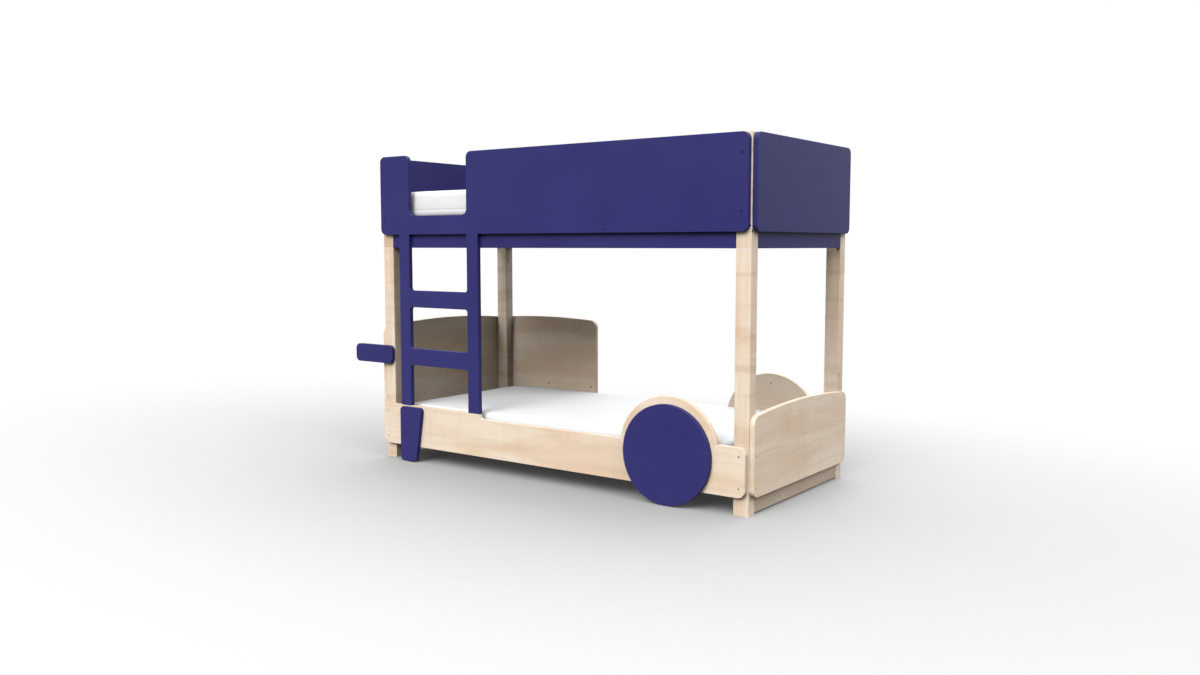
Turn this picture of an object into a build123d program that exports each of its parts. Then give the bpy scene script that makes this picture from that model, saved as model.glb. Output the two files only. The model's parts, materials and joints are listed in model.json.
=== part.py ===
from build123d import *
import os
from dataclasses import dataclass

os.makedirs("parts", exist_ok=True)

# Bunk bed with a low lower bed, a ladder board and wheel discs.
# Millimetres. X runs along the bed with the ladder at the left, Y from the front to the back, Z up.
# The origin is on the floor, in the middle of the overall length and depth.

# Mattresses
mattress_length = 1900.0
mattress_width = 900.0
mattress_height = 140.0
mattress_crown = 5.0
mattress_side_bulge = 4.0
mattress_top_radius = 16.0
mattress_bottom_radius = 10.0
mattress_corner_radius = 45.0
mattress_side_gap = 2.0
mattress_seat_gap = 0.3

# Posts, each in two lengths
mattress_end_gap = 55.0
post_wide = 70.0
post_deep = 57.0
post_edge_radius = 2.5
post_joint_chamfer = 0.8
post_joint_height = 1101.0

# Boards and panels
board_thick = 22.0
panel_thick = 22.0
board_setback = 5.0
edge_radius = 2.0
board_corner_radius = 34.0
side_board_low = 79.0
side_board_high = 290.0
side_board_dip = 24.0
board_arch_radius = 4400.0
arched_corner_radius = 42.0
headboard_rise = 423.0
footboard_rise = 151.5
back_guard_rise = 413.0

# Guard panels round the upper bed
panel_above_joint = 67.0
panel_tall = 398.0
panel_corner_radius = 30.0
entry_sill_tall = 94.0

# Ladder board
ladder_from_left = 138.0
ladder_rail_wide = 72.0
ladder_opening = 399.0
rung_tall = 85.0
rung_pitch = 297.0
rung_count = 2
ladder_corner_radius = 15.0

# Wheel discs and the wheel arches behind them
wheel_from_right = 378.0
wheel_radius = 219.0
wheel_floor_gap = 2.0
arch_radius = 253.0

# Plate like a side mirror, and the tapered plate below the ladder
mirror_overhang = 207.0
mirror_tall = 94.0
mirror_low = 497.5
mirror_corner_radius = 27.0
taper_plate_left = 149.0
taper_plate_top_wide = 154.0
taper_plate_bottom_wide = 110.0
taper_plate_floor_gap = 4.0
taper_plate_tall = 281.0
taper_plate_corner_radius = 20.0

# Rails of the upper bed and base rails at the feet
upper_rail_thick = 18.0
upper_rail_tall = 150.0
base_rail_thick = 22.0
base_rail_tall = 90.0
base_rail_floor_gap = 8.0

# Slatted bases
ledger_thick = 30.0
ledger_tall = 40.0
ledger_end_gap = 1.0
ledger_above_board_low = 22.0
ledger_above_rail_low = 94.0
slat_count = 15
slat_wide = 70.0
slat_thick = 18.0
slat_end_gap = 1.0
slat_from_post = 10.0

# Fits of fasteners
bore_gap = 0.15
dowel_end_gap = 0.5
ladder_dowel_spacing = 40.0
post_screw_low = 38.0
post_screw_high = 172.0
panel_screw_edge = 82.5
panel_rail_screw_up = 17.0
headboard_high_screw_up = 330.0
guard_screws_up = [110.0, 330.0]
mirror_screw_spacing = 66.5
mirror_screw_in = 31.0
wheel_screw_top = 203.0
wheel_screw_side = 120.0
wheel_screw_down = 21.0
taper_screws_up = [96.0, 151.0]
ladder_screw_edge = 18.0
ladder_screw_rise = 32.0
ledger_screw_step = 3
arch_dowel_side = 150.0
connector_rise = 26.0
connector_from_end = 33.0
connector_barrel_radius = 4.5
connector_barrel_deep = 15.0
rail_bolt_up = 69.0
end_rail_bolt_up = 92.0
rail_dowel_up = 34.0
end_rail_dowel_up = 50.0
barrel_nut_in = 36.0
barrel_nut_radius = 5.0
barrel_nut_end_gap = 3.0
bolt_past_nut = 8.0
base_dowel_heights = [40.0, 75.0]

# Small blind holes low on the right end and inside the headboard
pilot_radius = 3.5
pilot_depth = 12.0
pilot_height = 34.0
pilot_rail_places = [284.0, 846.0]
pilot_post_place = 12.0
headboard_pilots = [(284.0, 582.0), (838.0, 322.0)]


@dataclass
class Screw:
    """A screw with a flat head, sunk below the face it is driven into."""

    shank_radius: float
    head_radius: float
    head_tall: float
    sink: float
    length: float
    socket_radius: float
    socket_depth: float


panel_screw = Screw(2.5, 3.6, 3.5, 1.5, 45.0, 1.9, 2.0)
short_screw = Screw(2.5, 3.6, 3.5, 1.5, 36.0, 1.9, 2.0)
ledger_screw = Screw(2.5, 4.5, 3.0, 1.0, 43.0, 1.9, 2.0)
slat_screw = Screw(1.8, 3.5, 2.5, 0.5, 32.0, 1.4, 1.5)
rail_bolt = Screw(3.0, 6.5, 4.0, 1.0, post_wide + barrel_nut_in + bolt_past_nut, 3.0, 2.5)
end_rail_bolt = Screw(3.0, 6.5, 4.0, 1.0, post_deep + barrel_nut_in + bolt_past_nut, 3.0, 2.5)


@dataclass
class Dowel:
    """A round peg, centred on the joint that it bridges."""

    radius: float
    length: float


post_dowel = Dowel(6.0, 70.0)
board_dowel = Dowel(4.0, 50.0)
rail_dowel = Dowel(4.0, 50.0)
connector_pin = Dowel(3.0, 42.0)

# Overall sizes that follow from the values above
bay_length = mattress_length + 2 * mattress_end_gap
bed_length = bay_length + 2 * post_wide
bed_depth = mattress_width + 2 * (upper_rail_thick + mattress_side_gap)
frame_left = -(bed_length + board_thick - mirror_overhang) / 2
frame_right = frame_left + bed_length
front = -1
back = 1
left = -1
right = 1

ladder_left = frame_left + ladder_from_left
ladder_wide = 2 * ladder_rail_wide + ladder_opening
ladder_right = ladder_left + ladder_wide
ladder_rail_centres = [ladder_left + ladder_rail_wide / 2, ladder_right - ladder_rail_wide / 2]
wheel_x = frame_right - wheel_from_right
wheel_z = wheel_radius + wheel_floor_gap
panel_low = post_joint_height + panel_above_joint
frame_height = panel_low + panel_tall
entry_sill_height = panel_low + entry_sill_tall
rung_tops = [side_board_high + rung_pitch * (n + 1) for n in range(rung_count)]
lower_ledger_low = side_board_low + ledger_above_board_low
lower_slat_top = lower_ledger_low + ledger_tall + slat_thick
upper_ledger_low = post_joint_height + ledger_above_rail_low
upper_slat_top = upper_ledger_low + ledger_tall + slat_thick
arch_half_chord = (arch_radius**2 - (side_board_high - wheel_z) ** 2) ** 0.5

slat_first = frame_left + post_wide + slat_from_post + slat_wide / 2
slat_last = frame_right - post_wide - slat_from_post - slat_wide / 2
slat_pitch = (slat_last - slat_first) / (slat_count - 1)
slat_places = [slat_first + slat_pitch * n for n in range(slat_count)]

post_x = {left: frame_left + post_wide / 2, right: frame_right - post_wide / 2}
post_y = {front: -(bed_depth - post_deep) / 2, back: (bed_depth - post_deep) / 2}
side_names = {front: "front", back: "back"}
end_names = {left: "left", right: "right"}


def side_face(side, out=0.0):
    """Plane of the front or back faces of the posts, moved outward, with its Y up."""
    return Plane.XZ.offset(-side * (bed_depth / 2 + out))


def end_face(end, out=0.0):
    """Plane of the left or right faces of the posts, moved outward, with its Y up."""
    return Plane.YZ.offset((frame_left if end == left else frame_right) + end * out)


def seat_on_side(side, x, z, out=0.0, facing=1):
    """Place of a fastener on a front or back face, its Z pointing out of the wood."""
    return Plane((x, side * (bed_depth / 2 + out), z), x_dir=(1, 0, 0), z_dir=(0, side * facing, 0))


def seat_on_end(end, y, z, out=0.0, facing=1):
    """Place of a fastener on a left or right face, its Z pointing out of the wood."""
    x = (frame_left if end == left else frame_right) + end * out
    return Plane((x, y, z), x_dir=(0, 1, 0), z_dir=(end * facing, 0, 0))


def save(piece, label):
    """Name a finished piece and write it."""
    piece.part.label = label
    export_step(piece.part, f"parts/{label}.step")


def drill(screw, seats):
    """Cut the stepped bores of screws in the part being built."""
    with Locations(*seats):
        CounterBoreHole(
            radius=screw.shank_radius + bore_gap,
            counter_bore_radius=screw.head_radius + bore_gap,
            counter_bore_depth=screw.sink + screw.head_tall,
            depth=screw.length + dowel_end_gap,
        )


def bore_for_dowels(dowel, seats):
    """Cut the bores of dowels in the part being built."""
    with Locations(*seats):
        Cylinder(dowel.radius + bore_gap, dowel.length + 2 * dowel_end_gap, mode=Mode.SUBTRACT)


def save_screws(screw, seats, label):
    """Make one screw and write a copy of it at each seat."""
    head_face = Plane.XY.offset(-screw.sink)
    neck_face = Plane.XY.offset(-screw.sink - screw.head_tall)
    with BuildPart() as one:
        with BuildSketch(head_face):
            Circle(screw.head_radius)
        extrude(amount=-screw.head_tall)
        with BuildSketch(neck_face):
            Circle(screw.shank_radius)
        extrude(amount=-(screw.length - screw.sink - screw.head_tall))
        with BuildSketch(head_face):
            RegularPolygon(screw.socket_radius, 6)
        extrude(amount=-screw.socket_depth, mode=Mode.SUBTRACT)
    with BuildPart() as screws:
        with Locations(*seats):
            add(one.part)
    save(screws, label)


def save_dowels(dowel, seats, label):
    """Write a dowel at each seat."""
    with BuildPart() as dowels:
        with Locations(*seats):
            Cylinder(dowel.radius, dowel.length)
    save(dowels, label)


# Seats of the screws, bolts and dowels, shared by the pieces they join
board_screw_heights = [side_board_low + post_screw_low, side_board_low + post_screw_high]
panel_screw_heights = [panel_low + panel_screw_edge, frame_height - panel_screw_edge]

side_board_seats = {
    side: [
        seat_on_side(side, post_x[end], z, board_thick)
        for end in (left, right)
        for z in board_screw_heights
    ]
    for side in (front, back)
}
end_board_seats = {
    end: [
        seat_on_end(end, post_y[side], z, board_thick)
        for side in (front, back)
        for z in board_screw_heights
    ]
    for end in (left, right)
}
end_board_seats[left] += [
    seat_on_end(left, post_y[side], side_board_high + headboard_high_screw_up, board_thick) for side in (front, back)
]
side_panel_seats = {
    side: [
        seat_on_side(side, post_x[end], z, panel_thick)
        for end in (left, right)
        for z in panel_screw_heights
    ]
    for side in (front, back)
}
end_panel_seats = {
    end: [
        seat_on_end(end, post_y[side], z, panel_thick)
        for side in (front, back)
        for z in panel_screw_heights
    ]
    for end in (left, right)
}
panel_rail_seats = {
    side: [
        seat_on_side(side, frame_left + bed_length * share, panel_low + panel_rail_screw_up, panel_thick)
        for share in (1 / 3, 2 / 3)
    ]
    for side in (front, back)
}
back_guard_seats = [
    seat_on_side(back, post_x[left], side_board_high + up, board_thick) for up in guard_screws_up
]
mirror_middle = mirror_low + mirror_tall / 2
mirror_screw_heights = [mirror_middle - mirror_screw_spacing / 2, mirror_middle + mirror_screw_spacing / 2]
mirror_seats = [
    seat_on_side(front, frame_left + mirror_screw_in, z, panel_thick) for z in mirror_screw_heights
]
wheel_board_seats = {
    side: [
        seat_on_side(side, wheel_x + half * wheel_screw_side, wheel_z - wheel_screw_down, 0, -1)
        for half in (-1, 1)
    ]
    for side in (front, back)
}
wheel_arch_seats = {
    side: [seat_on_side(side, wheel_x, wheel_z + wheel_screw_top, 0, -1)] for side in (front, back)
}
taper_plate_middle = frame_left + taper_plate_left + (taper_plate_top_wide + taper_plate_bottom_wide) / 4
taper_seats = [
    seat_on_side(front, taper_plate_middle, side_board_low + up, 0, -1) for up in taper_screws_up
]
ladder_screw_heights = [
    post_joint_height + ladder_screw_edge,
    post_joint_height + ladder_screw_edge + ladder_screw_rise,
]
ladder_screw_seats = [
    seat_on_side(front, x, z, -upper_rail_thick, -1)
    for x in ladder_rail_centres
    for z in ladder_screw_heights
]
ladder_dowel_seats = [
    Plane((x + half * ladder_dowel_spacing / 2, -(bed_depth + board_thick) / 2, side_board_high))
    for x in ladder_rail_centres
    for half in (-1, 1)
]
ledger_places = [slat_places[n] + slat_pitch / 2 for n in range(0, slat_count - 1, ledger_screw_step)]
lower_ledger_middle = lower_ledger_low + ledger_tall / 2
upper_ledger_middle = upper_ledger_low + ledger_tall / 2
lower_ledger_seats = {
    side: [seat_on_side(side, x, lower_ledger_middle, -ledger_thick, -1) for x in ledger_places]
    for side in (front, back)
}
upper_ledger_seats = {
    side: [
        seat_on_side(side, x, upper_ledger_middle, -upper_rail_thick - ledger_thick, -1)
        for x in ledger_places
    ]
    for side in (front, back)
}
lower_slat_screw_y = bed_depth / 2 - ledger_thick / 2
upper_slat_screw_y = bed_depth / 2 - upper_rail_thick - ledger_thick / 2
lower_slat_seats = {
    side: [Plane((x, side * lower_slat_screw_y, lower_slat_top)) for x in slat_places]
    for side in (front, back)
}
upper_slat_seats = {
    side: [Plane((x, side * upper_slat_screw_y, upper_slat_top)) for x in slat_places]
    for side in (front, back)
}

all_corners = [(end, side) for end in (left, right) for side in (front, back)]
post_dowel_seats = {
    (end, side): [Plane((post_x[end], post_y[side], post_joint_height))] for end, side in all_corners
}
rail_middle_y = bed_depth / 2 - upper_rail_thick / 2
end_rail_middle_x = {left: frame_left + upper_rail_thick / 2, right: frame_right - upper_rail_thick / 2}
base_rail_middle_x = {left: frame_left + base_rail_thick / 2, right: frame_right - base_rail_thick / 2}
post_inner_y = bed_depth / 2 - post_deep
post_inner_x = {left: frame_left + post_wide, right: frame_right - post_wide}
barrel_nut_bore = upper_rail_thick - 2 * barrel_nut_end_gap
rail_bolt_height = post_joint_height + rail_bolt_up
end_rail_bolt_height = post_joint_height + end_rail_bolt_up

rail_bolt_seats = {
    (end, side): [seat_on_end(end, side * rail_middle_y, rail_bolt_height)] for end, side in all_corners
}
end_rail_bolt_seats = {
    (end, side): [seat_on_side(side, end_rail_middle_x[end], end_rail_bolt_height)]
    for end, side in all_corners
}
rail_dowel_height = post_joint_height + rail_dowel_up
end_rail_dowel_height = post_joint_height + end_rail_dowel_up
rail_dowel_seats = {
    (end, side): [Plane((post_inner_x[end], side * rail_middle_y, rail_dowel_height), z_dir=(1, 0, 0))]
    for end, side in all_corners
}
end_rail_dowel_seats = {
    (end, side): [
        Plane((end_rail_middle_x[end], side * post_inner_y, end_rail_dowel_height), z_dir=(0, 1, 0))
    ]
    for end, side in all_corners
}
base_dowel_seats = {
    (end, side): [
        Plane((base_rail_middle_x[end], side * post_inner_y, z), z_dir=(0, 1, 0)) for z in base_dowel_heights
    ]
    for end, side in all_corners
}
arch_dowel_seats = {
    side: [
        Plane((wheel_x + half * arch_dowel_side, side * (bed_depth + board_thick) / 2, side_board_high))
        for half in (-1, 1)
    ]
    for side in (front, back)
}
back_guard_left = frame_left + board_setback
back_guard_right = ladder_right
back_guard_wide = back_guard_right - back_guard_left
back_guard_middle = (back_guard_left + back_guard_right) / 2
connector_x = [back_guard_right - connector_from_end, back_guard_middle]
connector_barrel_z = side_board_high + connector_rise
connector_pin_z = connector_barrel_z - connector_barrel_radius - bore_gap - connector_pin.length / 2
connector_pin_seats = [Plane((x, (bed_depth + board_thick) / 2, connector_pin_z)) for x in connector_x]
connector_barrel_seats = [seat_on_side(back, x, connector_barrel_z, 0, -1) for x in connector_x]
rail_nut_seats = {
    (end, side): Plane(
        (post_inner_x[end] - end * barrel_nut_in, side * rail_middle_y, rail_bolt_height), z_dir=(0, 1, 0)
    )
    for end, side in all_corners
}
end_rail_nut_seats = {
    (end, side): Plane(
        (end_rail_middle_x[end], side * (post_inner_y - barrel_nut_in), end_rail_bolt_height), z_dir=(1, 0, 0)
    )
    for end, side in all_corners
}


# Corner posts, each in two lengths that meet at the underside of the upper rails
for end, side in all_corners:
    corner = f"{side_names[side]}_{end_names[end]}"
    with BuildPart() as lower_post:
        with BuildSketch(Plane.XY):
            with Locations((post_x[end], post_y[side])):
                Rectangle(post_wide, post_deep)
        extrude(amount=post_joint_height)
        fillet(lower_post.edges().filter_by(Axis.Z), radius=post_edge_radius)
        chamfer(lower_post.faces().sort_by(Axis.Z)[-1].edges(), length=post_joint_chamfer)
        drill(panel_screw, side_board_seats[side] + end_board_seats[end])
        if (end, side) == (left, back):
            drill(panel_screw, back_guard_seats)
        if (end, side) == (left, front):
            drill(panel_screw, mirror_seats)
        if (end, side) == (right, front):
            with Locations(seat_on_end(right, pilot_post_place - bed_depth / 2, pilot_height)):
                Hole(pilot_radius, depth=pilot_depth)
        bore_for_dowels(post_dowel, post_dowel_seats[end, side])
        bore_for_dowels(rail_dowel, base_dowel_seats[end, side])
    save(lower_post, f"lower_post_{corner}")

    with BuildPart() as upper_post:
        with BuildSketch(Plane.XY.offset(post_joint_height)):
            with Locations((post_x[end], post_y[side])):
                Rectangle(post_wide, post_deep)
        extrude(amount=frame_height - post_joint_height)
        fillet(upper_post.edges().filter_by(Axis.Z), radius=post_edge_radius)
        chamfer(upper_post.faces().sort_by(Axis.Z)[0].edges(), length=post_joint_chamfer)
        chamfer(upper_post.faces().sort_by(Axis.Z)[-1].edges(), length=post_joint_chamfer)
        drill(panel_screw, side_panel_seats[side] + end_panel_seats[end])
        drill(rail_bolt, rail_bolt_seats[end, side])
        drill(end_rail_bolt, end_rail_bolt_seats[end, side])
        bore_for_dowels(post_dowel, post_dowel_seats[end, side])
        bore_for_dowels(rail_dowel, rail_dowel_seats[end, side] + end_rail_dowel_seats[end, side])
    save(upper_post, f"upper_post_{corner}")


# Long side boards of the lower bed, raised at both ends and lower between them
side_board_tall = side_board_high - side_board_low
dip_left = ladder_right
dip_right = wheel_x - arch_half_chord
dip_height = side_board_high - side_board_dip
for side in (front, back):
    # The outline first carries on a little way up into what stands on the board
    if side == front:
        standing = [(x, ladder_rail_wide) for x in ladder_rail_centres]
    else:
        standing = [(back_guard_middle, back_guard_wide)]
    standing.append((wheel_x, 2 * arch_half_chord))
    with BuildPart() as side_board:
        with BuildSketch(side_face(side)) as outline:
            with Locations(((frame_left + frame_right) / 2, side_board_low + side_board_tall / 2)):
                Rectangle(bed_length - 2 * board_setback, side_board_tall)
            fillet(outline.vertices(), radius=board_corner_radius)
            with Locations(((dip_left + dip_right) / 2, side_board_high)):
                Rectangle(dip_right - dip_left, 2 * side_board_dip, mode=Mode.SUBTRACT)
            for x, wide in standing:
                with Locations((x, side_board_high)):
                    Rectangle(wide, 2 * board_corner_radius)
            step_corner = outline.vertices().sort_by_distance((dip_left, dip_height))[0]
            fillet(step_corner, radius=side_board_dip - edge_radius)
        extrude(amount=-side * board_thick)
        outer_face = side_board.faces().sort_by(Axis.Y)[0 if side == front else -1]
        fillet(outer_face.edges(), radius=edge_radius)
        split(bisect_by=Plane.XY.offset(side_board_high), keep=Keep.BOTTOM)
        drill(panel_screw, side_board_seats[side])
        drill(ledger_screw, lower_ledger_seats[side])
        drill(short_screw, wheel_board_seats[side])
        bore_for_dowels(board_dowel, arch_dowel_seats[side])
        if side == front:
            drill(short_screw, taper_seats)
            bore_for_dowels(board_dowel, ladder_dowel_seats)
        else:
            bore_for_dowels(connector_pin, connector_pin_seats)
    save(side_board, f"{side_names[side]}_side_board")


def arched_outline(middle, wide, low, peak):
    """Sketch a board with a shallow arched top and round corners, in the sketch being built."""
    with Locations((middle, (low + peak) / 2)):
        Rectangle(wide, peak - low)
    with Locations((middle, peak - board_arch_radius)):
        Circle(board_arch_radius, mode=Mode.INTERSECT)


def round_arched_corners(outline):
    """Round the two top corners and the two bottom corners of an arched board's sketch."""
    fillet(outline.vertices().sort_by(Axis.Y)[2:], radius=arched_corner_radius)
    fillet(outline.vertices().sort_by(Axis.Y)[:2], radius=board_corner_radius)


# Headboard and footboard
end_board_wide = bed_depth - 2 * board_setback
for end, label, rise in ((left, "headboard", headboard_rise), (right, "footboard", footboard_rise)):
    with BuildPart() as end_board:
        with BuildSketch(end_face(end)) as outline:
            arched_outline(0, end_board_wide, side_board_low, side_board_high + rise)
            round_arched_corners(outline)
        extrude(amount=end * board_thick)
        outer_face = end_board.faces().sort_by(Axis.X)[0 if end == left else -1]
        fillet(outer_face.edges(), radius=edge_radius)
        drill(panel_screw, end_board_seats[end])
        if end == left:
            with Locations(*[seat_on_end(left, y - bed_depth / 2, z, 0, -1) for y, z in headboard_pilots]):
                Hole(pilot_radius, depth=pilot_depth)
    save(end_board, label)

# Tall guard board at the back, which stands on the back side board
with BuildPart() as back_guard:
    with BuildSketch(side_face(back)) as outline:
        arched_outline(back_guard_middle, back_guard_wide, side_board_high, side_board_high + back_guard_rise)
        fillet(outline.vertices().sort_by(Axis.Y)[2:], radius=arched_corner_radius)
    extrude(amount=-board_thick)
    inner_edges = back_guard.faces().sort_by(Axis.Y)[0].edges()
    fillet(inner_edges.sort_by(Axis.Z)[1:], radius=edge_radius)
    drill(panel_screw, back_guard_seats)
    bore_for_dowels(connector_pin, connector_pin_seats)
    with Locations(*connector_barrel_seats):
        Hole(connector_barrel_radius + bore_gap, depth=connector_barrel_deep + dowel_end_gap)
save(back_guard, "back_guard_board")

# Wheel arches, round boards cut off where they stand on the side boards
for side in (front, back):
    with BuildPart() as wheel_arch:
        with BuildSketch(side_face(side)):
            with Locations((wheel_x, wheel_z)):
                Circle(arch_radius)
        extrude(amount=-side * board_thick)
        fillet(wheel_arch.edges().filter_by(GeomType.CIRCLE), radius=edge_radius)
        split(bisect_by=Plane.XY.offset(side_board_high), keep=Keep.TOP)
        drill(short_screw, wheel_arch_seats[side])
        bore_for_dowels(board_dowel, arch_dowel_seats[side])
    save(wheel_arch, f"{side_names[side]}_wheel_arch")

    with BuildPart() as wheel_disc:
        with BuildSketch(side_face(side, board_thick)):
            with Locations((wheel_x, wheel_z)):
                Circle(wheel_radius)
        extrude(amount=-side * panel_thick)
        fillet(wheel_disc.edges().filter_by(GeomType.CIRCLE), radius=edge_radius)
        drill(short_screw, wheel_board_seats[side] + wheel_arch_seats[side])
    save(wheel_disc, f"{side_names[side]}_wheel_disc")

# Tapered plate on the front of the side board, below the ladder
with BuildPart() as taper_plate:
    plate_left = frame_left + taper_plate_left
    plate_top = taper_plate_floor_gap + taper_plate_tall
    with BuildSketch(side_face(front, board_thick)) as outline:
        with BuildLine():
            Polyline(
                (plate_left, taper_plate_floor_gap),
                (plate_left + taper_plate_bottom_wide, taper_plate_floor_gap),
                (plate_left + taper_plate_top_wide, plate_top),
                (plate_left, plate_top),
                close=True,
            )
        make_face()
        fillet(outline.vertices(), radius=taper_plate_corner_radius)
    extrude(amount=panel_thick)
    fillet(taper_plate.faces().sort_by(Axis.Y)[0].edges(), radius=edge_radius)
    drill(short_screw, taper_seats)
save(taper_plate, "tapered_plate")

# Plate like a side mirror on the front left post
with BuildPart() as mirror_plate:
    mirror_wide = mirror_overhang + post_wide
    with BuildSketch(side_face(front)):
        with Locations((frame_left - mirror_overhang + mirror_wide / 2, mirror_middle)):
            RectangleRounded(mirror_wide, mirror_tall, mirror_corner_radius)
    extrude(amount=panel_thick)
    fillet(mirror_plate.faces().sort_by(Axis.Y)[0].edges(), radius=edge_radius)
    drill(panel_screw, mirror_seats)
save(mirror_plate, "side_mirror_plate")

# Base rails between the feet at each end
for end in (left, right):
    with BuildPart() as base_rail:
        with BuildSketch(end_face(end)):
            with Locations((0, base_rail_floor_gap + base_rail_tall / 2)):
                Rectangle(2 * post_inner_y, base_rail_tall)
        extrude(amount=-end * base_rail_thick)
        fillet(base_rail.edges().filter_by(Axis.Y), radius=edge_radius)
        for side in (front, back):
            bore_for_dowels(rail_dowel, base_dowel_seats[end, side])
        if end == right:
            with Locations(*[seat_on_end(right, y - bed_depth / 2, pilot_height) for y in pilot_rail_places]):
                Hole(pilot_radius, depth=pilot_depth)
    save(base_rail, f"base_rail_{end_names[end]}")

# Rails of the upper bed, between the posts and flush with their outer faces
for side in (front, back):
    with BuildPart() as side_rail:
        with BuildSketch(side_face(side)):
            with Locations(((frame_left + frame_right) / 2, post_joint_height + upper_rail_tall / 2)):
                Rectangle(bay_length, upper_rail_tall)
        extrude(amount=side * upper_rail_thick)
        fillet(side_rail.edges().filter_by(Axis.X), radius=edge_radius)
        drill(short_screw, panel_rail_seats[side])
        drill(ledger_screw, upper_ledger_seats[side])
        if side == front:
            drill(short_screw, ladder_screw_seats)
        for end in (left, right):
            drill(rail_bolt, rail_bolt_seats[end, side])
            bore_for_dowels(rail_dowel, rail_dowel_seats[end, side])
            with Locations(rail_nut_seats[end, side]):
                Cylinder(barrel_nut_radius + bore_gap, barrel_nut_bore, mode=Mode.SUBTRACT)
    save(side_rail, f"upper_rail_{side_names[side]}")

for end in (left, right):
    with BuildPart() as end_rail:
        with BuildSketch(end_face(end)):
            with Locations((0, post_joint_height + upper_rail_tall / 2)):
                Rectangle(2 * post_inner_y, upper_rail_tall)
        extrude(amount=-end * upper_rail_thick)
        fillet(end_rail.edges().filter_by(Axis.Y), radius=edge_radius)
        for side in (front, back):
            drill(end_rail_bolt, end_rail_bolt_seats[end, side])
            bore_for_dowels(rail_dowel, end_rail_dowel_seats[end, side])
            with Locations(end_rail_nut_seats[end, side]):
                Cylinder(barrel_nut_radius + bore_gap, barrel_nut_bore, mode=Mode.SUBTRACT)
    save(end_rail, f"upper_end_rail_{end_names[end]}")

# Guard panel at the front, with the way in above its sill and two stubs that carry on into the ladder
side_panel_wide = bed_length - 2 * board_setback
entry_left = ladder_left + ladder_rail_wide
entry_right = ladder_right - ladder_rail_wide
stub_tall = 2 * ladder_corner_radius
with BuildPart() as front_panel:
    with BuildSketch(side_face(front)) as outline:
        with Locations(((frame_left + frame_right) / 2, panel_low + panel_tall / 2)):
            Rectangle(side_panel_wide, panel_tall)
        with Locations(((entry_left + entry_right) / 2, frame_height)):
            Rectangle(ladder_opening, 2 * (frame_height - entry_sill_height), mode=Mode.SUBTRACT)
        fillet(outline.vertices(), radius=panel_corner_radius)
        with Locations(*[(x, panel_low - stub_tall / 2) for x in ladder_rail_centres]):
            Rectangle(ladder_rail_wide, stub_tall)
    extrude(amount=panel_thick)
    fillet(front_panel.faces().sort_by(Axis.Y)[0].edges(), radius=edge_radius)
    split(bisect_by=Plane.XY.offset(panel_low), keep=Keep.TOP)
    drill(panel_screw, side_panel_seats[front])
    drill(short_screw, panel_rail_seats[front])
save(front_panel, "guard_panel_front")

with BuildPart() as back_panel:
    with BuildSketch(side_face(back)):
        with Locations(((frame_left + frame_right) / 2, panel_low + panel_tall / 2)):
            RectangleRounded(side_panel_wide, panel_tall, panel_corner_radius)
    extrude(amount=-panel_thick)
    fillet(back_panel.faces().sort_by(Axis.Y)[-1].edges(), radius=edge_radius)
    fillet(back_panel.faces().sort_by(Axis.Y)[0].edges(), radius=edge_radius)
    drill(panel_screw, side_panel_seats[back])
    drill(short_screw, panel_rail_seats[back])
save(back_panel, "guard_panel_back")

for end in (left, right):
    with BuildPart() as end_panel:
        with BuildSketch(end_face(end)):
            with Locations((0, panel_low + panel_tall / 2)):
                RectangleRounded(end_board_wide, panel_tall, panel_corner_radius)
        extrude(amount=end * panel_thick)
        fillet(end_panel.faces().sort_by(Axis.X)[0].edges(), radius=edge_radius)
        fillet(end_panel.faces().sort_by(Axis.X)[-1].edges(), radius=edge_radius)
        drill(panel_screw, end_panel_seats[end])
    save(end_panel, f"guard_panel_{end_names[end]}")

# Ladder, one board with three openings, from the side board up to the guard panel
opening_lows = [side_board_high] + rung_tops
opening_highs = [top - rung_tall for top in rung_tops] + [panel_low]
with BuildPart() as ladder:
    with BuildSketch(side_face(front)) as outline:
        with Locations(((ladder_left + ladder_right) / 2, (side_board_high + panel_low) / 2)):
            Rectangle(ladder_wide, panel_low - side_board_high)
        for low, high in zip(opening_lows, opening_highs):
            with Locations(((ladder_left + ladder_right) / 2, (low + high) / 2)):
                Rectangle(ladder_opening, high - low, mode=Mode.SUBTRACT)
        rung_corners = outline.vertices().filter_by(lambda v: side_board_high < v.Y < panel_low)
        fillet(rung_corners, radius=ladder_corner_radius)
        for end_height in (side_board_high - stub_tall / 2, panel_low + stub_tall / 2):
            with Locations(*[(x, end_height) for x in ladder_rail_centres]):
                Rectangle(ladder_rail_wide, stub_tall)
    extrude(amount=panel_thick)
    fillet(ladder.faces().sort_by(Axis.Y)[0].edges(), radius=edge_radius)
    split(bisect_by=Plane.XY.offset(side_board_high), keep=Keep.TOP)
    split(bisect_by=Plane.XY.offset(panel_low), keep=Keep.BOTTOM)
    drill(short_screw, ladder_screw_seats)
    bore_for_dowels(board_dowel, ladder_dowel_seats)
save(ladder, "ladder_board")

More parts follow.
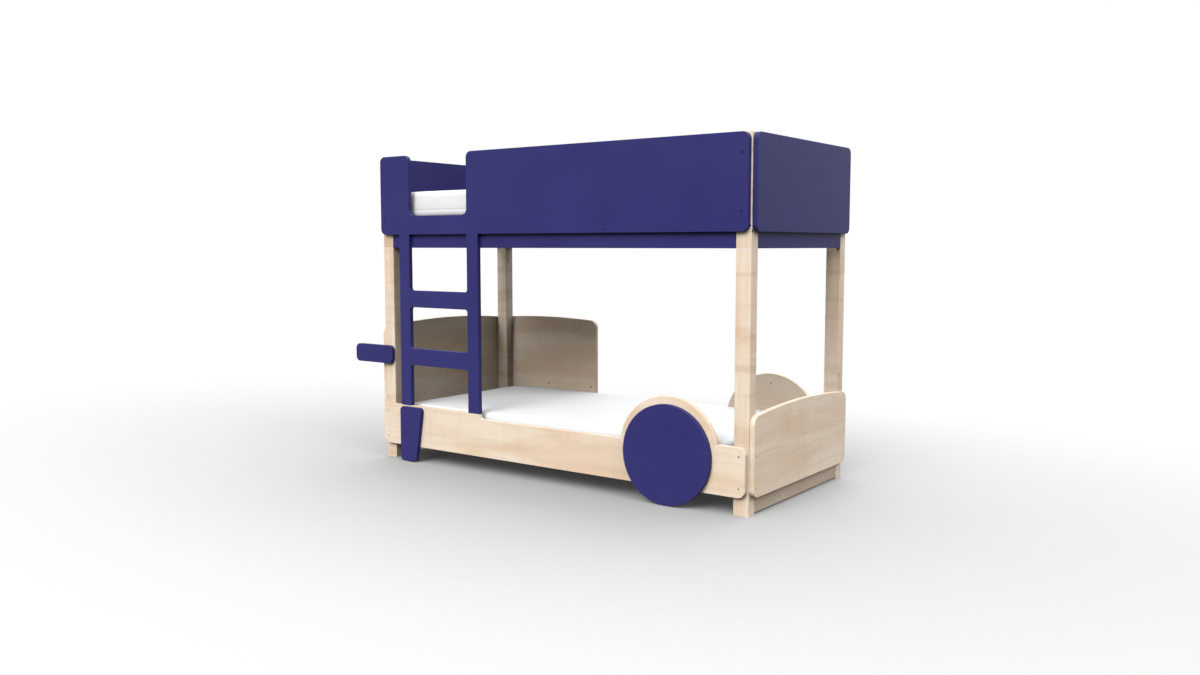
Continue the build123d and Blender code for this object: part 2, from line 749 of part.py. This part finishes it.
# Ledgers and slats of both beds
ledger_long = bay_length - 2 * ledger_end_gap
ledger_kinds = (
    ("lower", lower_ledger_low, 0.0, lower_ledger_seats, lower_slat_seats),
    ("upper", upper_ledger_low, upper_rail_thick, upper_ledger_seats, upper_slat_seats),
)
for bed, low, inset, ledger_seats, slat_seats in ledger_kinds:
    for side in (front, back):
        with BuildPart() as ledger:
            with BuildSketch(side_face(side, -inset)):
                with Locations(((frame_left + frame_right) / 2, low + ledger_tall / 2)):
                    Rectangle(ledger_long, ledger_tall)
            extrude(amount=side * ledger_thick)
            drill(ledger_screw, ledger_seats[side])
            drill(slat_screw, slat_seats[side])
        save(ledger, f"{bed}_ledger_{side_names[side]}")

    with BuildPart() as slats:
        with BuildSketch(Plane.XY.offset(low + ledger_tall)):
            with Locations(*[(x, 0) for x in slat_places]):
                Rectangle(slat_wide, bed_depth - 2 * (inset + slat_end_gap))
        extrude(amount=slat_thick)
        drill(slat_screw, slat_seats[front] + slat_seats[back])
    save(slats, f"{bed}_slats")
    save_screws(slat_screw, slat_seats[front] + slat_seats[back], f"{bed}_slat_screws")
    save_screws(ledger_screw, ledger_seats[front] + ledger_seats[back], f"{bed}_ledger_screws")


def mattress_profile(plane, span, low):
    """Sketch an end view of a mattress: flat below, bulged sides, crowned top and soft corners."""
    half = span / 2
    edge = half - mattress_side_bulge
    shoulder = low + mattress_height - mattress_crown
    with BuildSketch(plane) as profile:
        with BuildLine():
            Line((-edge, low), (edge, low))
            ThreePointArc((edge, low), (half, (low + shoulder) / 2), (edge, shoulder))
            ThreePointArc((edge, shoulder), (0, low + mattress_height), (-edge, shoulder))
            ThreePointArc((-edge, shoulder), (-half, (low + shoulder) / 2), (-edge, low))
        make_face()
        fillet(profile.vertices().sort_by(Axis.Y)[2:], radius=mattress_top_radius)
        fillet(profile.vertices().sort_by(Axis.Y)[:2], radius=mattress_bottom_radius)
    return profile.sketch


# Mattresses, soft and crowned, each lying on its slats
bed_middle = (frame_left + frame_right) / 2
for bed, slat_top in (("lower", lower_slat_top), ("upper", upper_slat_top)):
    mattress_low = slat_top + mattress_seat_gap
    back_plane = Plane.XZ.offset(-mattress_width / 2).move(Location((bed_middle, 0, 0)))
    foot_plane = Plane.YZ.offset(bed_middle - mattress_length / 2)
    long_view = mattress_profile(back_plane, mattress_length, mattress_low)
    cross_view = mattress_profile(foot_plane, mattress_width, mattress_low)
    with BuildPart() as mattress:
        extrude(long_view, amount=mattress_width)
        extrude(cross_view, amount=mattress_length, mode=Mode.INTERSECT)
        with BuildSketch(Plane.XY.offset(mattress_low)):
            with Locations((bed_middle, 0)):
                RectangleRounded(mattress_length, mattress_width, mattress_corner_radius)
        extrude(amount=mattress_height, mode=Mode.INTERSECT)
    save(mattress, f"{bed}_mattress")


def both_sides(seats):
    """List the seats of the front and then of the back."""
    return seats[front] + seats[back]


def all_of(seats):
    """List the seats of every corner."""
    return [seat for corner in all_corners for seat in seats[corner]]


# Screws, bolts, nuts and dowels
board_seats = both_sides(side_board_seats) + end_board_seats[left] + end_board_seats[right] + back_guard_seats
save_screws(panel_screw, board_seats, "lower_board_screws")
panel_seats = both_sides(side_panel_seats) + end_panel_seats[left] + end_panel_seats[right]
save_screws(panel_screw, panel_seats, "guard_panel_screws")
save_screws(panel_screw, mirror_seats, "side_mirror_screws")
save_screws(short_screw, both_sides(panel_rail_seats), "panel_rail_screws")
save_screws(short_screw, both_sides(wheel_board_seats) + both_sides(wheel_arch_seats), "wheel_screws")
save_screws(short_screw, taper_seats, "tapered_plate_screws")
save_screws(short_screw, ladder_screw_seats, "ladder_screws")
save_screws(rail_bolt, all_of(rail_bolt_seats), "side_rail_bolts")
save_screws(end_rail_bolt, all_of(end_rail_bolt_seats), "end_rail_bolts")
save_dowels(post_dowel, all_of(post_dowel_seats), "post_dowels")
save_dowels(rail_dowel, all_of(rail_dowel_seats) + all_of(end_rail_dowel_seats), "upper_rail_dowels")
save_dowels(rail_dowel, all_of(base_dowel_seats), "base_rail_dowels")
save_dowels(board_dowel, both_sides(arch_dowel_seats) + ladder_dowel_seats, "side_board_dowels")
save_dowels(connector_pin, connector_pin_seats, "back_guard_pins")

with BuildPart() as connector_barrels:
    for seat in connector_barrel_seats:
        with BuildSketch(seat):
            Circle(connector_barrel_radius)
        extrude(amount=-connector_barrel_deep)
save(connector_barrels, "back_guard_barrels")

with BuildPart() as barrel_nuts:
    with Locations(*rail_nut_seats.values(), *end_rail_nut_seats.values()):
        Cylinder(barrel_nut_radius, barrel_nut_bore - 2 * bore_gap)
    drill(rail_bolt, all_of(rail_bolt_seats))
    drill(end_rail_bolt, all_of(end_rail_bolt_seats))
save(barrel_nuts, "barrel_nuts")
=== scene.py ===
import json
import math

import bpy
import numpy as np
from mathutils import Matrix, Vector, noise


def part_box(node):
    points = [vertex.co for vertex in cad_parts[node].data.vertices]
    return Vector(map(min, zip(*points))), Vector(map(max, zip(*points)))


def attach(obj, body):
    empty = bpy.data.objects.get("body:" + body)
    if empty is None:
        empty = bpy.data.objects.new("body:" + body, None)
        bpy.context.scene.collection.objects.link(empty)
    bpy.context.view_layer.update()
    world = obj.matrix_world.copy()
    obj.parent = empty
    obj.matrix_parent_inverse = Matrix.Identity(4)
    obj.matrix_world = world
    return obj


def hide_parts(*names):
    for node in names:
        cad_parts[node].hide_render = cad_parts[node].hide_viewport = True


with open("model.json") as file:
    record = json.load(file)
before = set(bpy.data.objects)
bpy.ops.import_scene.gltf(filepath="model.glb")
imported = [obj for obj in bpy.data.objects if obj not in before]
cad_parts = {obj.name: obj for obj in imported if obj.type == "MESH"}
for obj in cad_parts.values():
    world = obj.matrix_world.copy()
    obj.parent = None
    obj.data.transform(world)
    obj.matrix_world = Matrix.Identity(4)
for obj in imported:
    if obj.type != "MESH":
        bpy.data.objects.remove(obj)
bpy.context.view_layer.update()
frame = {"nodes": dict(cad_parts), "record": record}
nodes = frame["nodes"]
scene = bpy.context.scene
scene.view_settings.view_transform = "Standard"
scene.view_settings.look = "None"
scene.view_settings.exposure = 0.0
# No light bounces off dull surfaces, because the photograph's inner faces are dark
scene.cycles.diffuse_bounces = 0


def link(obj):
    scene.collection.objects.link(obj)
    return obj


# Camera, at the photograph's viewpoint: its lens in mm, its place in metres, its aim in degrees
SENSOR_WIDTH = 36.0
FOCAL_LENGTH = 31.16
CAMERA_PLACE = (3.1426, -4.2045, 1.1122)
CAMERA_DOWN = 5.056
CAMERA_TURN = 36.138
camera_data = bpy.data.cameras.new("camera")
camera_data.sensor_fit = "HORIZONTAL"
camera_data.sensor_width = SENSOR_WIDTH
camera_data.lens = FOCAL_LENGTH
camera_data.clip_end = 100.0
camera = link(bpy.data.objects.new("camera", camera_data))
camera.location = CAMERA_PLACE
camera.rotation_euler = (math.radians(90 - CAMERA_DOWN), 0.0, math.radians(CAMERA_TURN))
scene.camera = camera


class Tree:
    """A material with a Principled shader, and short ways to add and join its nodes."""

    def __init__(self, name):
        self.material = bpy.data.materials.new(name)
        self.material.use_nodes = True
        self.tree = self.material.node_tree
        self.tree.nodes.clear()
        self.output = self.add("ShaderNodeOutputMaterial")
        self.shader = self.add("ShaderNodeBsdfPrincipled")
        self.join(self.shader.outputs["BSDF"], self.output.inputs["Surface"])

    def add(self, kind, **settings):
        node = self.tree.nodes.new(kind)
        for key, value in settings.items():
            setattr(node, key, value)
        return node

    def join(self, source, target):
        self.tree.links.new(source, target)

    def coords(self, scale=(1, 1, 1), shift=(0, 0, 0)):
        """Object coordinates, which keep still on a moving piece, in metres times scale."""
        coordinates = self.add("ShaderNodeTexCoord")
        mapping = self.add("ShaderNodeMapping")
        mapping.inputs["Scale"].default_value = scale
        mapping.inputs["Location"].default_value = shift
        self.join(coordinates.outputs["Object"], mapping.inputs["Vector"])
        return mapping.outputs["Vector"]

    def noise(self, vector, scale, detail=3.0, roughness=0.5, distortion=0.0):
        node = self.add("ShaderNodeTexNoise")
        node.inputs["Scale"].default_value = scale
        node.inputs["Detail"].default_value = detail
        node.inputs["Roughness"].default_value = roughness
        node.inputs["Distortion"].default_value = distortion
        self.join(vector, node.inputs["Vector"])
        return node.outputs["Fac"]

    def spread(self, value, low, high, to_low=0.0, to_high=1.0, smooth=False):
        """Map a value's range to another range."""
        node = self.add("ShaderNodeMapRange")
        node.interpolation_type = "SMOOTHSTEP" if smooth else "LINEAR"
        node.inputs["From Min"].default_value = low
        node.inputs["From Max"].default_value = high
        node.inputs["To Min"].default_value = to_low
        node.inputs["To Max"].default_value = to_high
        self.join(value, node.inputs["Value"])
        return node.outputs["Result"]

    def maths(self, operation, first, second=None):
        """A Math node of one socket, or of a socket and a number or second socket."""
        node = self.add("ShaderNodeMath", operation=operation)
        self.join(first, node.inputs[0])
        if isinstance(second, float):
            node.inputs[1].default_value = second
        elif second is not None:
            self.join(second, node.inputs[1])
        return node.outputs["Value"]

    def mix(self, factor, first, second):
        """Blend two colours, each a socket or a linear colour, in a Mix node's colour sockets."""
        node = self.add("ShaderNodeMix", data_type="RGBA")
        self.join(factor, node.inputs[0])
        for socket, value in ((node.inputs[6], first), (node.inputs[7], second)):
            if isinstance(value, tuple):
                socket.default_value = (*value, 1.0)
            else:
                self.join(value, socket)
        return node.outputs[2]

    def bump(self, height, strength, distance):
        node = self.add("ShaderNodeBump")
        node.inputs["Strength"].default_value = strength
        node.inputs["Distance"].default_value = distance
        self.join(height, node.inputs["Height"])
        self.join(node.outputs["Normal"], self.shader.inputs["Normal"])

    def plain(self, **values):
        """Set the shader's own sockets, with _ for each space in a name."""
        for key, value in values.items():
            self.shader.inputs[key.replace("_", " ")].default_value = value


def linear(red, green, blue):
    """Linear colour from 8-bit display values."""
    def one(value):
        value = value / 255
        return value / 12.92 if value <= 0.04045 else ((value + 0.055) / 1.055) ** 2.4
    return (one(red), one(green), one(blue))


def along(grain, lengthwise, across):
    """A scale that stretches a pattern along the grain's axis."""
    return tuple(lengthwise if axis == grain else across for axis in "xyz")


KNOT = (150, 108, 72)
KNOT_HALO = (226, 190, 152)
# Colour and width of the painted highlight where two lengths of a post meet
JOINT_HIGHLIGHT = (255, 251, 245)
JOINT_CORE = 0.0010
JOINT_REACH = 0.0024


def wood(name, grain, seed, pale=(251, 233, 211), warm=(239, 212, 183), dark=(213, 179, 146),
         roughness=0.42, curl_share=0.10, joint=None):
    """Pale close-grained wood: warm figure, bands, fibre, cross curl and a few small knots.

    A thin painted highlight crosses it at the height of joint, where two lengths of a post meet.
    """
    t = Tree(name)
    shift = (seed * 7.31, seed * 3.17, seed * 5.73)
    figure = t.noise(t.coords(along(grain, 0.9, 5.0), shift), 1.6, 3.0, 0.55, 0.6)
    bands = t.noise(t.coords(along(grain, 0.55, 16.0), shift), 2.2, 4.0, 0.6, 0.35)
    fibre = t.noise(t.coords(along(grain, 4.0, 260.0), shift), 1.0, 2.0, 0.6)
    pores = t.noise(t.coords(along(grain, 24.0, 620.0), shift), 1.0, 1.0, 0.5)
    curl = t.noise(t.coords(along(grain, 15.0, 2.5), shift), 1.0, 3.0, 0.55, 0.5)
    tone = t.mix(t.spread(figure, 0.36, 0.68, smooth=True), linear(*pale), linear(*warm))
    tone = t.mix(t.spread(bands, 0.52, 0.80, 0.0, 0.34, smooth=True), tone, linear(*dark))
    tone = t.mix(t.spread(curl, 0.47, 0.66, 0.0, curl_share, smooth=True), tone, linear(*dark))
    tone = t.mix(t.spread(fibre, 0.40, 0.72, 0.0, 0.17), tone, linear(*dark))
    knots = t.add("ShaderNodeTexVoronoi", feature="F1")
    knots.inputs["Scale"].default_value = 1.0
    knots.inputs["Randomness"].default_value = 1.0
    t.join(t.coords(along(grain, 2.3, 5.6), shift), knots.inputs["Vector"])
    spot = t.spread(knots.outputs["Distance"], 0.022, 0.052, 1.0, 0.0, smooth=True)
    halo = t.spread(knots.outputs["Distance"], 0.04, 0.15, 0.30, 0.0, smooth=True)
    tone = t.mix(halo, tone, linear(*KNOT_HALO))
    tone = t.mix(t.maths("MULTIPLY", spot, 0.62), tone, linear(*KNOT))
    # Painted highlight: a thin pale band round the piece at the height of joint
    if joint is not None:
        axes = t.add("ShaderNodeSeparateXYZ")
        t.join(t.coords(), axes.inputs[0])
        away = t.maths("ABSOLUTE", t.maths("SUBTRACT", axes.outputs["Z"], joint))
        joint_highlight = t.spread(away, JOINT_CORE, JOINT_REACH, 0.9, 0.0)
        tone = t.mix(joint_highlight, tone, linear(*JOINT_HIGHLIGHT))
    t.join(tone, t.shader.inputs["Base Color"])
    rough = t.spread(fibre, 0.3, 0.7, roughness - 0.05, roughness + 0.09)
    t.join(rough, t.shader.inputs["Roughness"])
    height = t.maths("ADD", t.maths("MULTIPLY", fibre, 0.6), t.maths("MULTIPLY", pores, 0.4))
    t.bump(height, 0.10, 0.0004)
    t.plain(Specular_IOR_Level=0.42, Coat_Weight=0.12, Coat_Roughness=0.30)
    return t.material


def lacquer(name, seed):
    """Dark purple satin paint with a faint orange peel and small handling marks."""
    t = Tree(name)
    place = t.coords((1, 1, 1), (seed * 4.7, seed * 2.9, seed * 6.1))
    peel = t.noise(place, 420.0, 2.0, 0.55)
    ripple = t.noise(place, 38.0, 2.0, 0.5)
    cloud = t.noise(place, 3.2, 4.0, 0.55)
    rubs = t.noise(place, 14.0, 6.0, 0.7, 0.4)
    base = t.mix(t.spread(cloud, 0.3, 0.7), linear(51, 49, 111), linear(56, 54, 117))
    base = t.mix(t.spread(rubs, 0.60, 0.80, 0.0, 0.06), base, linear(76, 74, 134))
    t.join(base, t.shader.inputs["Base Color"])
    satin = t.spread(cloud, 0.3, 0.7, 0.40, 0.46)
    rough = t.maths("ADD", satin, t.spread(rubs, 0.55, 0.8, 0.0, 0.07))
    t.join(rough, t.shader.inputs["Roughness"])
    height = t.maths("ADD", t.maths("MULTIPLY", peel, 0.5), t.maths("MULTIPLY", ripple, 0.5))
    t.bump(height, 0.05, 0.0005)
    t.plain(Specular_IOR_Level=0.20)
    return t.material


def steel(name):
    """Dark zinc with a fine turned finish."""
    t = Tree(name)
    turned = t.noise(t.coords(), 900.0, 2.0, 0.5)
    stain = t.noise(t.coords(), 160.0, 3.0, 0.6)
    t.join(t.mix(stain, linear(22, 21, 22), linear(44, 42, 43)), t.shader.inputs["Base Color"])
    t.join(t.spread(turned, 0.3, 0.7, 0.38, 0.52), t.shader.inputs["Roughness"])
    t.plain(Metallic=1.0)
    t.bump(turned, 0.15, 0.0001)
    return t.material


THREAD_SCALE = 210.0


def cloth(name, seed):
    """White woven cover: warp and weft threads, faint slubs and a soft sheen."""
    t = Tree(name)
    place = t.coords((1, 1, 1), (seed * 3.3, seed * 1.9, 0.0))

    def threads(axis, wander=0.0):
        wave = t.add("ShaderNodeTexWave", wave_type="BANDS", wave_profile="SIN")
        wave.bands_direction = axis
        wave.inputs["Scale"].default_value = THREAD_SCALE
        wave.inputs["Distortion"].default_value = wander
        t.join(place, wave.inputs["Vector"])
        return wave.outputs["Fac"]

    weave = t.maths("MULTIPLY", threads("X", 0.6), threads("Y", 0.6))
    weave = t.maths("ADD", weave, t.maths("MULTIPLY", threads("Z"), 0.5))
    slub = t.noise(t.coords((3.0, 40.0, 40.0), (seed, 0, 0)), 6.0, 3.0, 0.6)
    cloud = t.noise(place, 5.0, 4.0, 0.5)
    base = t.mix(t.spread(cloud, 0.3, 0.7), linear(246, 247, 249), linear(250, 250, 251))
    base = t.mix(t.spread(weave, 0.0, 1.2, 0.10, 0.0), base, linear(206, 208, 213))
    base = t.mix(t.spread(slub, 0.58, 0.8, 0.0, 0.10), base, linear(220, 221, 224))
    t.join(base, t.shader.inputs["Base Color"])
    t.join(t.spread(slub, 0.3, 0.7, 0.62, 0.74), t.shader.inputs["Roughness"])
    t.bump(t.maths("ADD", weave, t.maths("MULTIPLY", slub, 0.6)), 0.20, 0.0005)
    t.plain(Sheen_Weight=0.25, Sheen_Roughness=0.45)
    return t.material


# The axis of each board's grain, where it isn't upright
GRAINS = {
    "front_side_board": "x", "back_side_board": "x", "back_guard_board": "x",
    "front_wheel_arch": "x", "back_wheel_arch": "x", "headboard": "y", "footboard": "y",
    "base_rail_left": "y", "base_rail_right": "y",
    "lower_ledger_front": "x", "lower_ledger_back": "x",
    "upper_ledger_front": "x", "upper_ledger_back": "x",
    "lower_slats": "y", "upper_slats": "y",
}
# The pale, warm and dark tone of each kind of wood that isn't the boards' own; the base rails'
# tones are the boards' wood darkened as painted shade
BEECH = ((226, 196, 160), (206, 170, 128), (176, 136, 96))
SLAT = ((238, 216, 184), (224, 194, 156), (200, 162, 118))
BASE_RAIL_SHADED = ((206, 188, 166), (194, 172, 146), (170, 143, 115))
post_joint = max(corner.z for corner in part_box("lower_post_front_right"))
slots = {piece["node"]: piece["material_slot"] for piece in frame["record"]["subparts"]}
metal = steel("dark_zinc")


def surface(name, slot, seed):
    """The material of a rigid node."""
    grain = GRAINS.get(name, "z")
    if slot == "steel":
        return metal
    if slot == "purple_lacquer":
        return lacquer("lacquer_" + name, seed)
    if slot == "dowel_wood":
        return wood("beech_" + name, grain, seed, *BEECH, roughness=0.6)
    if slot == "slat_wood":
        return wood("slat_" + name, grain, seed, *SLAT, roughness=0.55)
    # Base rails get darker tones, as painted shade
    if name.startswith("base_rail"):
        return wood("wood_" + name, grain, seed, *BASE_RAIL_SHADED)
    if "_post_" in name:
        return wood("wood_" + name, grain, seed, curl_share=0.42, joint=post_joint)
    return wood("wood_" + name, grain, seed)


for seed, (name, obj) in enumerate(sorted(nodes.items()), start=1):
    if slots[name] == "mattress_cover":
        continue
    obj.data.materials.clear()
    obj.data.materials.append(surface(name, slots[name], seed))
    obj.data.shade_flat()


# Mattresses: a foam block with a sewn cover, crowned on top and drawn in along its edges
GRID_STEP = 0.018
EDGE_ROUND = 0.026
CORNER_ROUND = 0.052
SEAM_HEIGHT = -0.030
SEAM_HALF_WIDTH = 0.0035
SEAM_DEPTH = 0.0016
WALL_START = 0.012
TOP_DROP = 0.0065
CROWN_RISE = 0.0045
WALL_DRAW = 0.0052
WALL_SWELL = 0.0040
WALL_BAND = 0.05


def rounded_lines(half):
    """Grid lines along one axis, closer together where the edge turns."""
    angles = np.linspace(0.0, math.pi / 2, 7)
    edge = half - EDGE_ROUND + EDGE_ROUND * np.sin(angles)
    count = max(2, round(2 * edge[0] / GRID_STEP))
    return np.concatenate([-edge[:0:-1], np.linspace(-edge[0], edge[0], count + 1), edge[1:]])


def mattress_grid(columns, rows, levels):
    """Quads over a closed box of grid points, and each point's column, row and level."""
    index = {}
    quads = []

    def point(i, j, k):
        return index.setdefault((i, j, k), len(index))

    def quad(*corners):
        quads.append(tuple(point(*corner) for corner in corners))

    for i in range(columns):
        for j in range(rows):
            quad((i, j, levels), (i + 1, j, levels), (i + 1, j + 1, levels), (i, j + 1, levels))
            quad((i, j, 0), (i, j + 1, 0), (i + 1, j + 1, 0), (i + 1, j, 0))
    for k in range(levels):
        for i in range(columns):
            quad((i, 0, k), (i + 1, 0, k), (i + 1, 0, k + 1), (i, 0, k + 1))
            quad((i, rows, k), (i, rows, k + 1), (i + 1, rows, k + 1), (i + 1, rows, k))
        for j in range(rows):
            quad((0, j, k), (0, j, k + 1), (0, j + 1, k + 1), (0, j + 1, k))
            quad((columns, j, k), (columns, j + 1, k), (columns, j + 1, k + 1), (columns, j, k + 1))
    return quads, np.array(list(index))


def mattress(name, seed):
    """A soft piece in place of a mattress's solid, inside the solid's box."""
    low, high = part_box(name)
    centre = (low + high) / 2
    half = (high - low) / 2
    x_lines = rounded_lines(half.x)
    y_lines = rounded_lines(half.y)
    wall = half.z - EDGE_ROUND
    seam = [SEAM_HEIGHT - SEAM_HALF_WIDTH, SEAM_HEIGHT, SEAM_HEIGHT + SEAM_HALF_WIDTH]
    z_lines = np.array([-wall, *seam, *np.linspace(SEAM_HEIGHT + WALL_START, wall, 6)])
    levels = len(z_lines) - 1
    quads, places = mattress_grid(len(x_lines) - 1, len(y_lines) - 1, levels)
    flat = np.column_stack([x_lines[places[:, 0]], y_lines[places[:, 1]]])
    level = places[:, 2]

    # Upright corners: what lies past the corner's centre is pulled onto an arc
    inner = np.array([half.x - CORNER_ROUND, half.y - CORNER_ROUND])

    def past_centre(flat):
        past = np.sign(flat) * np.maximum(np.abs(flat) - inner, 0.0)
        return past, np.maximum(np.linalg.norm(past, axis=1), 1e-9)

    past, length = past_centre(flat)
    flat = flat + past * (np.abs(past).max(axis=1) / length - 1.0)[:, None]
    past, length = past_centre(flat)
    outward = past / length[:, None]
    depth = CORNER_ROUND - length

    # Long edges: an arc from the flat faces down to the walls
    over = np.clip(EDGE_ROUND - depth, 0.0, EDGE_ROUND)
    arc = wall + np.sqrt(np.maximum(EDGE_ROUND**2 - over**2, 0.0))
    height = np.where(level == levels, arc, np.where(level == 0, -arc, z_lines[level]))

    # Soft form: a low crown, walls that swell between their edges, and small uneven places
    spots = [(x, y, z) for (x, y), z in zip(flat, height)]
    share = (height + half.z) / (2 * half.z)
    crown = (1 - (flat[:, 0] / half.x) ** 2) * (1 - (flat[:, 1] / half.y) ** 2)
    uneven = np.array([
        noise.noise(Vector((x * 5.5 + seed * 9.1, y * 5.5, z * 9.0)))
        + 0.5 * noise.noise(Vector((x * 15.0, y * 15.0 + seed * 4.3, z * 24.0)))
        for x, y, z in spots
    ])
    near = np.clip(1.0 - depth / WALL_BAND, 0.0, 1.0)
    pucker = np.array([
        noise.noise(Vector((x * 46.0, y * 46.0 + seed, z * 14.0))) for x, y, z in spots
    ])
    top = share * (-TOP_DROP + CROWN_RISE * crown + 0.0012 * uneven + 0.0005 * near * pucker)
    swell = WALL_SWELL * (1 - (height / half.z) ** 2) - WALL_DRAW
    swell = swell + 0.0010 * uneven + 0.0006 * pucker
    groove = np.where(np.abs(height - SEAM_HEIGHT) < SEAM_HALF_WIDTH / 2, -SEAM_DEPTH, 0.0)
    side = np.where((level > 0) & (level < levels), groove, 0.0)
    flat = flat + outward * (near * (swell + side))[:, None]
    points = np.column_stack([flat, height + top]) + np.array(centre)

    mesh = bpy.data.meshes.new(name + "_soft")
    mesh.from_pydata(points.tolist(), [], quads, shade_flat=False)
    mesh.update()
    piece = link(bpy.data.objects.new(name + "_soft", mesh))
    piece.data.materials.append(cloth("cover_" + name, seed))
    subdivide = piece.modifiers.new("smooth", "SUBSURF")
    subdivide.levels = 1
    subdivide.render_levels = 1
    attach(piece, name)
    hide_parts(name)


for seed, name in enumerate(("lower_mattress", "upper_mattress"), start=1):
    mattress(name, seed)


# Floor, pale, clearing to the white behind it in an oval round the bed
FLOOR_REACH = 60
OVAL = (0.55, 1.0, 1.0)
CLEAR_FROM = 0.50
CLEAR_TO = 2.8
corners = [(-1, -1), (1, -1), (1, 1), (-1, 1)]
floor_points = [(x * FLOOR_REACH, y * FLOOR_REACH, 0) for x, y in corners]
floor_mesh = bpy.data.meshes.new("floor")
floor_mesh.from_pydata(floor_points, [], [(0, 1, 2, 3)])
floor = link(bpy.data.objects.new("floor", floor_mesh))
t = Tree("pale_floor")
distance = t.add("ShaderNodeVectorMath", operation="LENGTH")
t.join(t.coords(OVAL), distance.inputs[0])
far = t.spread(distance.outputs["Value"], CLEAR_FROM, CLEAR_TO, smooth=True)
t.plain(Base_Color=(0.45, 0.45, 0.45, 1.0), Roughness=0.65, Specular_IOR_Level=0.2)
t.plain(Emission_Color=(1.0, 1.0, 1.0, 1.0), Emission_Strength=0.03)
clear = t.add("ShaderNodeBsdfTransparent")
blend = t.add("ShaderNodeMixShader")
t.join(far, blend.inputs[0])
t.join(t.shader.outputs["BSDF"], blend.inputs[1])
t.join(clear.outputs["BSDF"], blend.inputs[2])
t.join(blend.outputs["Shader"], t.output.inputs["Surface"])
floor_mesh.materials.append(t.material)

# Soft studio light: glows round the bed, each with its aim, narrowness and strength,
# and plain white where the camera looks past it
AMBIENT = 0.03
GLOWS = [
    ((0.0, -1.0, 0.75), 20.0, 9.8),
    ((1.0, -0.2, 0.9), 20.0, 4.9),
    ((0.7, -0.7, 0.7), 20.0, 0.5),
    ((-1.0, 0.0, 0.25), 3.0, 0.9),
    ((0.0, 0.0, 1.0), 4.0, 0.8),
    ((0.0, 0.9, 0.7), 4.0, 2.3),
]
world = bpy.data.worlds.new("studio")
scene.world = world
world.use_nodes = True
sky = world.node_tree
background = sky.nodes["Background"]
background.inputs["Color"].default_value = (1.0, 1.0, 1.0, 1.0)
direction = sky.nodes.new("ShaderNodeTexCoord").outputs["Generated"]


def sky_maths(operation, first, second, third=None):
    """A Math node for the world, of a socket, a number and a number or socket."""
    node = sky.nodes.new("ShaderNodeMath")
    node.operation = operation
    sky.links.new(first, node.inputs[0])
    node.inputs[1].default_value = second
    if isinstance(third, float):
        node.inputs[2].default_value = third
    elif third is not None:
        sky.links.new(third, node.inputs[2])
    return node.outputs["Value"]


total = AMBIENT
for aim, narrowness, strength in GLOWS:
    dot = sky.nodes.new("ShaderNodeVectorMath")
    dot.operation = "DOT_PRODUCT"
    dot.inputs[1].default_value = Vector(aim).normalized()
    sky.links.new(direction, dot.inputs[0])
    facing = sky_maths("MAXIMUM", dot.outputs["Value"], 0.0)
    total = sky_maths("MULTIPLY_ADD", sky_maths("POWER", facing, narrowness), strength, total)
seen = sky.nodes.new("ShaderNodeLightPath")
choose = sky.nodes.new("ShaderNodeMix")
sky.links.new(seen.outputs["Is Camera Ray"], choose.inputs["Factor"])
sky.links.new(total, choose.inputs["A"])
choose.inputs["B"].default_value = 1.0
sky.links.new(choose.outputs["Result"], background.inputs["Strength"])
